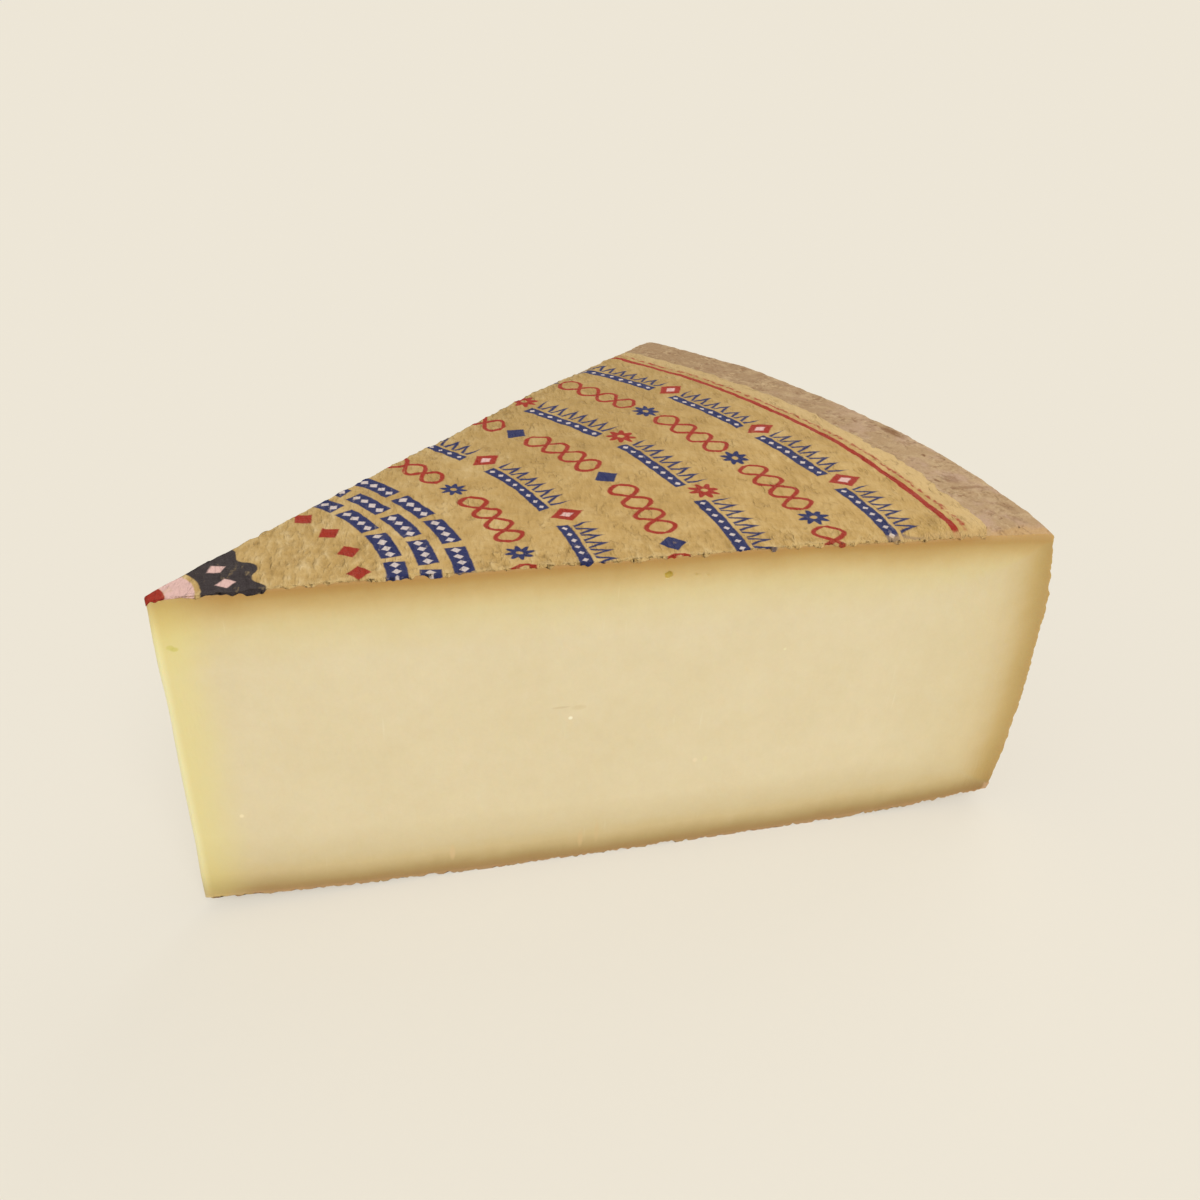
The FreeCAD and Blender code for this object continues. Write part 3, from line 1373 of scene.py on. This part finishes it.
@dataclass(frozen=True)
class PrintedRing:
    """A ring of equal motifs round the wheel's axis, in millimetres."""

    motif: Motif
    ink: Ink
    radius: float  # of the motifs' middles
    count: int  # round a whole wheel
    width: float
    height: float
    turn: float = 0.0  # how far round the ring starts, as a share of one motif

    def mask(self, radius: Field, turns: Field) -> Field:
        """Where the ring has ink.

        Args:
            radius: the distance from the axis.
            turns: the way round the wheel, with 1 for a whole turn.

        Returns:
            1 in the ink and 0 outside it, with soft edges.
        """
        share = (turns * self.count + self.turn).fraction() - 0.5
        across = share * radius * (math.tau / self.count)
        draw = getattr(self, self.motif.value)
        return draw(across, radius - self.radius).rise(SOFT_EDGE, -SOFT_EDGE)

    @staticmethod
    def box(across: Field, outward: Field, width: float, height: float) -> Field:
        """How far outside a box round the middle a place is."""
        return (abs(across) - width / 2).at_least(abs(outward) - height / 2)

    def pierced(self, across: Field, outward: Field, height: float, holes: int) -> Field:
        """How far outside a bar with a row of lozenge holes a place is.

        Args:
            across: the way along the bar from its middle.
            outward: the way across it from its middle.
            height: the bar's height. It is as wide as the motif.
            holes: how many holes it has.

        Returns:
            The distance, below 0 in the bar.
        """
        pitch = self.width / holes
        from_hole = abs((across / pitch + 0.5 * (holes % 2)).fraction() - 0.5) * pitch
        hole = from_hole + abs(outward) - height * 0.24
        return self.box(across, outward, self.width, height).at_least(-hole)

    def bar(self, across: Field, outward: Field) -> Field:
        """A short pierced bar."""
        return self.pierced(across, outward, self.height, 4)

    def panel(self, across: Field, outward: Field) -> Field:
        """A plain panel."""
        return self.box(across, outward, self.width, self.height)

    def peaks(self, across: Field, outward: Field) -> Field:
        """A row of open peaks, taller and shorter in turn, over a pierced bar.

        Args:
            across: the way along the ring from the motif's middle.
            outward: the way across it.

        Returns:
            The distance, below 0 in the ink.
        """
        bar_height, peak_height = self.height * 0.3, self.height * 0.62
        count, holes, stroke = 7, 8, 0.95
        pitch = self.width / count
        bar = self.pierced(across, outward + (self.height - bar_height) / 2, bar_height, holes)
        off_peak = abs((across / pitch).fraction() - 0.5) * 2
        taller = 0.82 + (across * (math.tau / pitch / 2)).cosine() * 0.18
        above = outward - (self.height / 2 - peak_height)
        slope = (above - taller * peak_height * (1 - off_peak)) * (pitch / 2 / peak_height)
        row = (abs(slope + stroke / 2) - stroke / 2).at_least(-above).at_least(abs(across) - self.width / 2)
        return bar.at_most(row)

    def plait(self, across: Field, outward: Field) -> Field:
        """Two waves that cross, closed at both ends.

        Args:
            across: the way along the ring from the motif's middle.
            outward: the way across it.

        Returns:
            The distance, below 0 in the ink.
        """
        loops, stroke = 4, 1.6
        swing = (self.height - stroke) / 2
        rate = math.pi * loops / self.width
        wave = (across * rate + (loops - 1) * math.pi / 2).cosine()
        steepness = ((1 - wave * wave) * (swing * rate) ** 2 + 1).root()
        strand = abs(abs(outward) - abs(wave) * swing) / steepness - stroke / 2
        return strand.at_least(abs(across) - self.width / 2)

    def lozenge(self, across: Field, outward: Field) -> Field:
        """A plain lozenge."""
        shares = abs(across) * (2 / self.width) + abs(outward) * (2 / self.height)
        return (shares - 1) * (min(self.width, self.height) * 0.35)

    def star(self, across: Field, outward: Field) -> Field:
        """A star of eight rays with an open middle.

        Args:
            across: the way along the ring from the motif's middle.
            outward: the way across it.

        Returns:
            The distance, below 0 in the ink.
        """
        away = (across * across + outward * outward).root()
        rays = (outward.bearing(across) * 8).cosine()
        edge = (rays * 0.2 + 0.8) * (self.width / 2)
        return ((away - edge) * 0.6).at_least(self.width * 0.11 - away)


@dataclass(frozen=True)
class PrintedPaper:
    """The paper stuck to the top: ochre, crinkled and worn, with rings of plain ornament, painted shade in
    its creases and painted highlight and shade on its flakes and threads.
    """

    ground: Mapping[float, str] = field(
        default_factory=lambda: {0.0: "A07C40", 0.3: "BA9657", 0.5: "C6A160", 0.7: "D1AE6F", 1.0: "E6C890"}
    )
    stain: str = "A07A42"
    pale: str = "DFC389"
    margin: str = "DCBB81"
    # Painted shade: the colour that the paper's creases are darkened to.
    crease_shade: str = "8A6836"
    left_share: str = "EDEEF0"  # what the paper is dulled by towards the left-hand cut
    smeared: str = "C9A56A"
    thread_turn: float = math.radians(38)  # of the threads' print, from +Y towards +X
    flake_turn: float = math.radians(24)  # and of the flakes
    scallops: int = 16  # round the middle's edge
    scallop_depth: float = 1.6
    coal_radii: tuple[float, float] = (15.5, 31.0)
    pink_radii: tuple[float, float] = (6.5, 14.0)
    border_radius: float = 242.6
    border_width: float = 2.3
    broken_radius: float = 246.4
    broken_width: float = 1.4
    rings: tuple[PrintedRing, ...] = (
        PrintedRing(Motif.PANEL, Ink.PALE, 220.75, 30, 35.2, 3.7),
        PrintedRing(Motif.PEAKS, Ink.NAVY, 226, 30, 36, 15),
        PrintedRing(Motif.LOZENGE, Ink.RED, 226, 30, 9.5, 13, 0.5),
        PrintedRing(Motif.LOZENGE, Ink.PINK, 226, 30, 3.8, 5.2, 0.5),
        PrintedRing(Motif.PLAIT, Ink.RED, 201, 26, 36, 11.5, 0.3),
        PrintedRing(Motif.STAR, Ink.NAVY, 201, 26, 10.5, 10.5, 0.8),
        PrintedRing(Motif.PANEL, Ink.PALE, 170.75, 23, 34.2, 3.7, 0.6),
        PrintedRing(Motif.PEAKS, Ink.NAVY, 176, 23, 35, 15, 0.6),
        PrintedRing(Motif.STAR, Ink.RED, 176, 23, 11, 11, 0.1),
        PrintedRing(Motif.PLAIT, Ink.RED, 151, 20, 35, 11, 0.1),
        PrintedRing(Motif.LOZENGE, Ink.NAVY, 151, 20, 9, 9, 0.6),
        PrintedRing(Motif.PANEL, Ink.PALE, 122.275, 17, 32.2, 3.25, 0.4),
        PrintedRing(Motif.PEAKS, Ink.NAVY, 127, 17, 33, 13.5, 0.4),
        PrintedRing(Motif.LOZENGE, Ink.RED, 127, 17, 9, 12, 0.9),
        PrintedRing(Motif.LOZENGE, Ink.PINK, 127, 17, 3.6, 4.8, 0.9),
        PrintedRing(Motif.PLAIT, Ink.RED, 104.5, 14, 33, 10, 0.7),
        PrintedRing(Motif.STAR, Ink.NAVY, 104.5, 14, 9, 9, 0.2),
        PrintedRing(Motif.PANEL, Ink.PALE, 87, 30, 14.2, 5.4),
        PrintedRing(Motif.BAR, Ink.NAVY, 87, 30, 15, 6.2),
        PrintedRing(Motif.PANEL, Ink.PALE, 77.5, 27, 14.2, 5.4, 0.5),
        PrintedRing(Motif.BAR, Ink.NAVY, 77.5, 27, 15, 6.2, 0.5),
        PrintedRing(Motif.PANEL, Ink.PALE, 68, 24, 14.2, 5.4),
        PrintedRing(Motif.BAR, Ink.NAVY, 68, 24, 15, 6.2),
        PrintedRing(Motif.LOZENGE, Ink.RED, 57.5, 28, 7.5, 7),
        PrintedRing(Motif.LOZENGE, Ink.PINK, 22.5, 16, 4.6, 5.6),
    )

    def build(self, wheel: Wheel) -> bpy.types.Material:
        """Makes the material.

        Args:
            wheel: the wheel.

        Returns:
            The material.
        """
        shader = Shader("printed_paper", wheel)
        # The creases are darkened with painted shade, where the relief also sinks them.
        threads, flakes, shaded_creases = self.threads(shader), self.flakes(shader), self.shaded_creases(shader)
        drawn_at = shader.shifted(0.12, 0.8, shader.shifted(0.32, 2.6, shader.shifted(0.9, 24)))
        x, y, _ = shader.parts(drawn_at)
        masks = self.masks(shader, (x * x + y * y).root(), y.bearing(x) / math.tau + 1)
        wear = 1 - (threads + flakes).rise(0.14, 0.5) * 0.45
        smear = (shader.from_cut() + shader.clouds(2.4, 3) * 3.5).rise(2.6, 1.0)
        smear *= (shader.radius + shader.clouds(9) * 20).rise(195, 240)
        tone = shader.laid(
            self.ground_tone(shader, threads * 0.6 + flakes),
            (shaded_creases * 0.25, self.crease_shade),
            *((masks[ink] * wear, ink.value) for ink in Ink),
            (smear * 0.85, self.smeared),
        )
        relief = flakes * 1.5 + threads * 0.35 - shaded_creases * 0.25 + shader.clouds(5, 3) * 0.5
        roughness = 0.66 + shader.clouds(3) * 0.2
        return shader.finish(tone, roughness, relief, {"Specular IOR Level": 0.2})

    def masks(self, shader: Shader, radius: Field, turns: Field) -> dict[Ink, Field]:
        """Where each ink is.

        Args:
            shader: the material's nodes.
            radius: the distance from the axis.
            turns: the way round the wheel, with 1 for a whole turn.

        Returns:
            1 in each ink and 0 outside it, by ink.
        """
        scallop = (turns * (math.tau * self.scallops)).cosine() * self.scallop_depth
        (coal_from, coal_to), (pink_from, pink_to) = self.coal_radii, self.pink_radii
        coal = self.inside(radius - scallop, coal_to) - self.inside(radius, coal_from)
        heart = self.inside(radius, pink_from)
        pink = self.inside(radius, pink_to) - heart
        masks = {Ink.COAL: coal, Ink.PINK: pink, Ink.RED: heart.at_least(self.border(shader, radius))}
        for ring in self.rings:
            mask = ring.mask(radius, turns)
            masks[ring.ink] = masks[ring.ink].at_least(mask) if ring.ink in masks else mask
        return masks

    @staticmethod
    def inside(radius: Field, edge: float) -> Field:
        """1 inside a circle and 0 outside it, with a soft edge."""
        return (radius - edge).rise(SOFT_EDGE, -SOFT_EDGE)

    def ground_tone(self, shader: Shader, grain: Field) -> Value:
        """The unprinted paper: ochre, mottled, stained and frayed pale along the cuts.

        Args:
            shader: the material's nodes.
            grain: its finer unevenness, about 0, from the same flakes and threads that the relief raises.
                The paper is painted paler where they stand up, a painted highlight, and darker where they
                sink, painted shade.

        Returns:
            The colour's socket.
        """
        # Painted highlight and shade: the level rises with the raised flakes and threads, over the paper's
        # own mottling.
        level = 0.52 + grain * 0.75 + shader.clouds(11, 4) * 0.8 + shader.clouds(34, 2) * 0.25
        level += shader.radius.rise(140, 60) * 0.13
        tones = {place: linear(hue) for place, hue in self.ground.items()}
        outside = (shader.radius + shader.clouds(6, 3) * 3).rise(243.5, 249)
        frayed = (shader.from_cut() + shader.clouds(2.6, 3) * 9).rise(2.2, 0.2)
        tone = shader.laid(
            shader.ramp(level, 1.0, tones),
            (shader.clouds(8, 4).rise(0.08, 0.26) * 0.36, self.stain),
            (outside * 0.7, self.margin),
            (frayed * 0.35, self.pale),
        )
        left = (shader.y + shader.clouds(40) * 50).rise(-70, 80)
        return shader.mix(left, tone, shader.mix(1.0, tone, linear(self.left_share), "MULTIPLY"))

    def border(self, shader: Shader, radius: Field) -> Field:
        """The ring line inside the paper's edge and the broken one outside it.

        Args:
            shader: the material's nodes.
            radius: the distance from the axis.

        Returns:
            1 in the ink and 0 outside it.
        """
        line = (abs(radius - self.border_radius) - self.border_width / 2).rise(0.2, -0.2)
        strayed = abs(radius + shader.clouds(2.0, 3) * 2.4 - self.broken_radius)
        thin = (strayed - self.broken_width / 2).rise(0.45, -0.45)
        gaps = shader.clouds(2.2, 3).rise(-0.14, 0.08)
        return line.at_least(thin * gaps * 0.85)

    @staticmethod
    def turned(shader: Shader, turn: float, pull: tuple[float, float, float]) -> Value:
        """The places turned about Z and then squeezed, as in drawn_out."""
        values = {"Vector": shader.shifted(0.5, 3), "Rotation": (0.0, 0.0, turn)}
        return shader.drawn_out(pull, shader.node("ShaderNodeMapping", {}, values).outputs[0])

    def threads(self, shader: Shader) -> Field:
        """The print of the cloth's threads through the paper.

        Args:
            shader: the material's nodes.

        Returns:
            Its height, about 0.
        """
        pulls = (1, 6, 1), (6, 1, 1)
        warp, weft = (shader.clouds(1.3, 2, self.turned(shader, self.thread_turn, pull)) for pull in pulls)
        return warp * 0.75 + weft * 0.4

    def flakes(self, shader: Shader) -> Field:
        """Small scaly puckers, stronger near the tip and beside the cuts.

        Args:
            shader: the material's nodes.

        Returns:
            Their height, about 0.
        """
        puckers = shader.clouds(1.9, 2.5, self.turned(shader, self.flake_turn, (1, 3.2, 1)))
        near = shader.radius.rise(125, 55).at_least(shader.from_cut().rise(16, 4))
        return puckers * (0.55 + near * 0.65) * (shader.clouds(18, 2) * 1.2 + 1)

    def shaded_creases(self, shader: Shader) -> Field:
        """Short creases in the paper, darkened with painted shade: 1 along one and 0 away from it."""
        creases = shader.clouds(3.4, 2, self.turned(shader, self.flake_turn, (1, 2.2, 1)))
        return abs(creases).rise(0.08, 0.0) * shader.clouds(7, 2).rise(-0.02, 0.14)


# The studio


@dataclass(frozen=True)
class Lamp:
    """A soft lamp, far off."""

    name: str
    heading: float  # where it stands, in degrees from +X towards +Y
    rise: float  # above the floor, in degrees
    strength: float
    softness: float  # how wide it looks, in degrees

    def build(self) -> None:
        """Adds it to the scene."""
        light = bpy.data.lights.new(self.name, "SUN")
        light.energy = self.strength
        light.angle = math.radians(self.softness)
        lamp = bpy.data.objects.new(self.name, light)
        turn = Matrix.Rotation(math.radians(self.heading + 90), 4, "Z")
        lamp.matrix_world = turn @ Matrix.Rotation(math.radians(90 - self.rise), 4, "X")
        bpy.context.scene.collection.objects.link(lamp)


@dataclass(frozen=True)
class Studio:
    """The pale floor, the light and the camera."""

    floor_tone: str = "EEE7D8"
    floor_radius: float = 60.0  # in metres
    floor_plainness: float = 0.6  # how much of it is seen unshaded
    sky_strength: float = 0.55
    lamps: tuple[Lamp, ...] = (
        Lamp("key", -105, 48, 1.35, 28),
        Lamp("fill", 20, 40, 0.55, 40),
    )
    camera_place: tuple[float, float, float] = (-0.19334, -0.26605, 0.27581)
    camera_heading: float = 37.609  # in degrees from +Y towards +X
    camera_dip: float = 31.918  # below level
    camera_roll: float = 2.987
    camera_lens: float = 32.5

    def build(self) -> None:
        """Adds all of it to the scene."""
        self.lay_floor()
        self.light_sky()
        for lamp in self.lamps:
            lamp.build()
        self.stand_camera()
        bpy.context.scene.view_settings.view_transform = "Standard"

    def lay_floor(self) -> None:
        """Lays the floor."""
        form = bmesh.new()
        bmesh.ops.create_circle(form, cap_ends=True, radius=self.floor_radius, segments=64)
        mesh = bpy.data.meshes.new("floor")
        form.to_mesh(mesh)
        form.free()
        material = bpy.data.materials.new("floor")
        material.use_nodes = True
        nodes = Nodes(material.node_tree)
        values = {"Base Color": linear(self.floor_tone), "Roughness": 1.0, "Specular IOR Level": 0.0}
        lit = nodes.node("ShaderNodeBsdfPrincipled", {}, values)
        plain = nodes.node("ShaderNodeEmission", {}, {"Color": linear(self.floor_tone)})
        values = {0: self.seen(nodes) * self.floor_plainness, 1: lit.outputs[0], 2: plain.outputs[0]}
        surface = nodes.node("ShaderNodeMixShader", {}, values)
        nodes.node("ShaderNodeOutputMaterial", {}, {"Surface": surface.outputs[0]})
        mesh.materials.append(material)
        floor = bpy.data.objects.new("floor", mesh)
        bpy.context.scene.collection.objects.link(floor)

    @staticmethod
    def seen(nodes: Nodes) -> Field:
        """Whether a surface is looked at, straight or in gloss or glass.

        Args:
            nodes: the surface's nodes.

        Returns:
            1 where it is looked at and 0 where it gives light.
        """
        rays = nodes.node("ShaderNodeLightPath").outputs
        direct, glossy, through = (Field(nodes, rays[f"Is {way} Ray"]) for way in RAYS_LOOKED_ALONG)
        return direct.at_least(glossy).at_least(through)

    def light_sky(self) -> None:
        """Lights the scene evenly from above and shows the floor's colour past its end."""
        world = bpy.data.worlds.new("studio")
        world.use_nodes = True
        nodes = Nodes(world.node_tree)
        plain = nodes.node("ShaderNodeBackground", {}, {"Color": linear(self.floor_tone)})
        values = {"Color": (1.0, 0.99, 0.97, 1.0), "Strength": self.sky_strength}
        light = nodes.node("ShaderNodeBackground", {}, values)
        values = {0: self.seen(nodes), 1: light.outputs[0], 2: plain.outputs[0]}
        choice = nodes.node("ShaderNodeMixShader", {}, values)
        nodes.node("ShaderNodeOutputWorld", {}, {"Surface": choice.outputs[0]})
        bpy.context.scene.world = world

    def stand_camera(self) -> None:
        """Stands the camera at the viewing angle."""
        camera = bpy.data.cameras.new("camera")
        camera.lens = self.camera_lens
        camera.clip_end = 4 * self.floor_radius
        stand = bpy.data.objects.new("camera", camera)
        turn = Matrix.Rotation(math.radians(-self.camera_heading), 4, "Z")
        tilt = Matrix.Rotation(math.radians(90 - self.camera_dip), 4, "X")
        roll = Matrix.Rotation(math.radians(self.camera_roll), 4, "Z")
        stand.matrix_world = Matrix.Translation(self.camera_place) @ turn @ tilt @ roll
        bpy.context.scene.collection.objects.link(stand)
        bpy.context.scene.camera = stand


def report(piece: bpy.types.Object) -> None:
    """Logs a piece's name and size.

    Args:
        piece: its object.
    """
    mesh = piece.data
    mesh.calc_loop_triangles()
    log.info("%s: %d vertices, %d triangles", piece.name, len(mesh.vertices), len(mesh.loop_triangles))


def main() -> None:
    """Builds the wedge and the studio."""
    logging.basicConfig(level=logging.INFO, format="%(name)s: %(message)s")
    wheel = Wheel.from_frame()
    cheese = CheeseBody(wheel)
    body = cheese.build(Paste().build(wheel), Rind().build(wheel))
    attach(body, "root")
    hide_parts("cheese_wedge")
    report(body)
    paper = TopPaper(cheese).build(PrintedPaper().build(wheel))
    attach(paper, "root")
    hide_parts("top_label")
    report(paper)
    Studio().build()
    log.info("studio: floor, light and camera")


if __name__ == "__main__":
    main()
